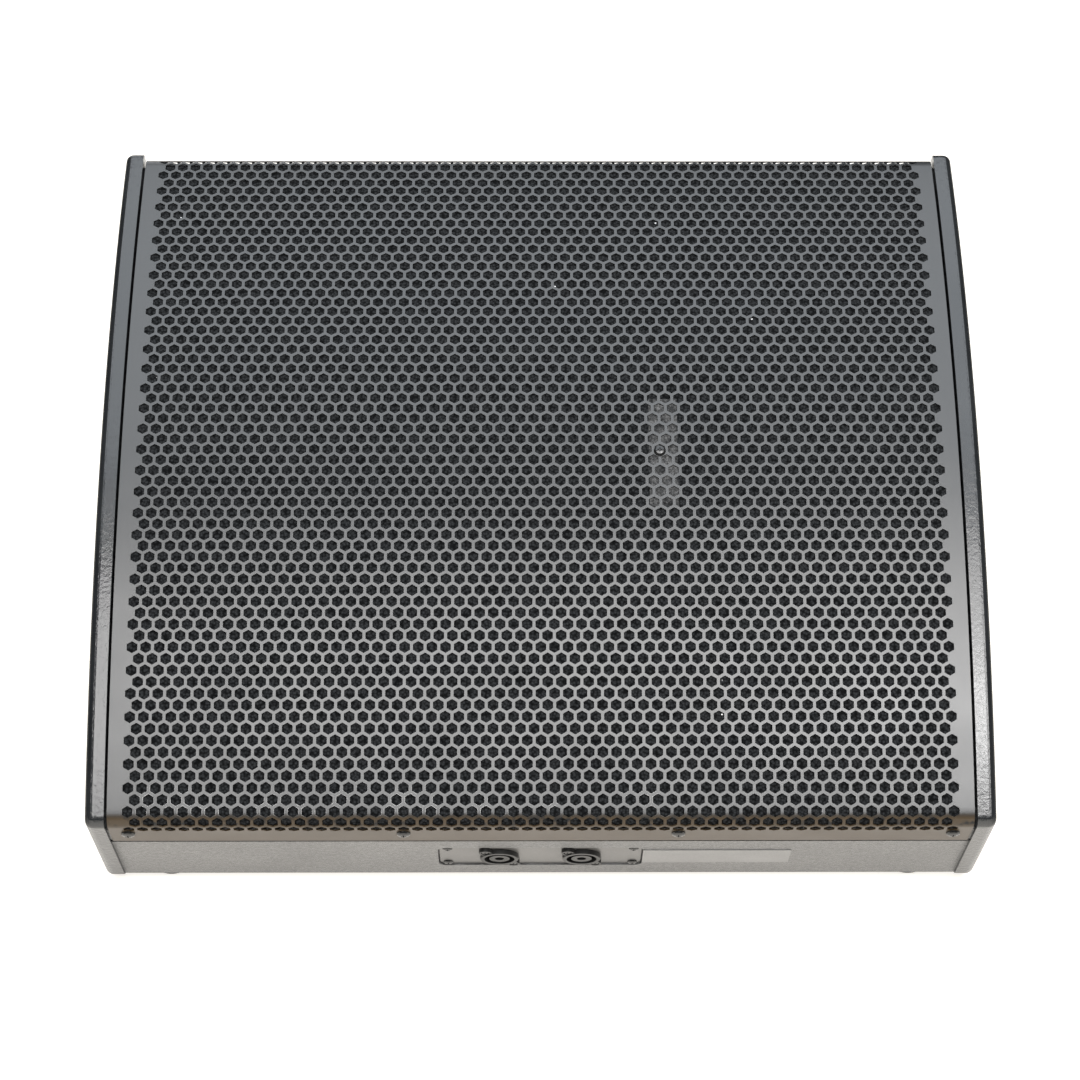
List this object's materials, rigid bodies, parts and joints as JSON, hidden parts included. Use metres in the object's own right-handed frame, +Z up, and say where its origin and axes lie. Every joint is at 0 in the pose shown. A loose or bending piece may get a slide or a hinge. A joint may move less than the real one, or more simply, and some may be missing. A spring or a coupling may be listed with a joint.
{
  "type": "stage monitor wedge",
  "caption": "Two-way floor monitor loudspeaker: sloping curved perforated grille, angled connector panel underneath, side handles, woofer and horn inside.",
  "frame": {"origin": "under the middle of the bounding box, on the floor that the rubber feet stand on", "axes": "+Z up, front with the sockets and the low edge of the grille faces -Y, +X to the right seen from the front"},
  "size_m": [0.596, 0.4962, 0.3897],
  "materials": {
    "cabinet_paint": "black textured polyurea paint on birch plywood",
    "side_paint": "black polyurea paint, smoother and glossier, on birch plywood",
    "baffle_paint": "flat black paint on plywood",
    "bare_timber": "sawn softwood, unpainted",
    "block_paint": "grey-black paint on plywood",
    "grille_paint": "fine matt powder coat on perforated steel",
    "foam": "open-cell acoustic foam, black",
    "wadding": "polyester wadding",
    "black_screw": "black-oxide steel, oiled",
    "zinc_screw": "zinc-plated steel",
    "basket_paint": "black enamel on pressed steel",
    "gasket": "pressed fibre gasket",
    "surround": "doped cotton cloth",
    "cone_paper": "black pressed paper pulp",
    "spider": "resin-stiffened cotton",
    "coil": "enamelled copper wire on a paper former",
    "pole_steel": "turned steel, passivated",
    "ferrite": "ground ferrite",
    "terminal": "tinned brass tags",
    "horn_plastic": "moulded ABS",
    "port_plastic": "moulded ABS",
    "diaphragm": "thin pressed titanium-aluminium foil",
    "phase_plug": "die-cast aluminium",
    "board": "glass-fibre circuit board",
    "capacitor": "shrink-sleeved film capacitors",
    "resistor": "cement-cased resistor",
    "spacer": "nylon",
    "plate_paint": "smooth satin black paint on steel",
    "socket_plastic": "glass-filled nylon, satin",
    "label": "black anodised foil, blank",
    "cable": "twin flexible cable",
    "foot_rubber": "moulded rubber",
    "handle_plastic": "moulded glass-filled nylon, spark texture"
  },
  "bodies": {
    "enclosure": {"side_panel_left": "side_paint", "side_panel_right": "side_paint", "kick_panel": "cabinet_paint", "base_panel": "cabinet_paint", "rear_panel": "cabinet_paint", "top_panel": "cabinet_paint", "baffle": "baffle_paint", "baffle_battens": "bare_timber", "corner_cleats": "bare_timber", "damping_pads": "wadding", "port_tubes": "port_plastic", "grille": "grille_paint", "grille_foam": "foam", "grille_support_block": "block_paint", "grille_centre_screw": "black_screw", "grille_lip_screws": "black_screw", "woofer_basket": "basket_paint", "woofer_gasket": "gasket", "woofer_surround": "surround", "woofer_spider": "spider", "woofer_top_plate": "pole_steel", "woofer_magnet": "ferrite", "woofer_back_plate": "pole_steel", "woofer_terminals": "terminal", "woofer_screws": "black_screw", "horn": "horn_plastic", "horn_screws": "black_screw", "driver_front_plate": "pole_steel", "driver_phase_plug": "phase_plug", "driver_magnet": "ferrite", "driver_cover": "basket_paint", "driver_screws": "black_screw", "crossover_board": "board", "crossover_coils": "coil", "crossover_capacitors": "capacitor", "crossover_resistor": "resistor", "crossover_standoffs": "spacer", "crossover_screws": "zinc_screw", "connector_plate": "plate_paint", "plate_screws": "black_screw", "socket_left": "socket_plastic", "socket_right": "socket_plastic", "socket_screws": "black_screw", "label_plate": "label", "input_lead": "cable", "woofer_lead": "cable", "driver_lead": "cable", "rubber_feet": "foot_rubber", "foot_screws": "zinc_screw", "handle_cup_left": "handle_plastic", "handle_cup_right": "handle_plastic", "handle_screws": "black_screw"},
    "cone_assembly": {"woofer_cone": "cone_paper", "woofer_dust_cap": "cone_paper", "woofer_voice_coil": "coil"},
    "diaphragm_assembly": {"driver_diaphragm": "diaphragm"}
  },
  "joints": [
    {"name": "woofer_travel", "type": "slide", "parent": "enclosure", "child": "cone_assembly", "axis": [0, -0.5736, 0.8192], "range_m": [-0.006, 0.006], "stiffness_N_per_m": 6000, "deforming": ["woofer_surround", "woofer_spider"]},
    {"name": "diaphragm_travel", "type": "slide", "parent": "enclosure", "child": "diaphragm_assembly", "axis": [0, -0.5736, 0.8192], "range_m": [-0.0004, 0.0004], "stiffness_N_per_m": 8000}
  ]
}
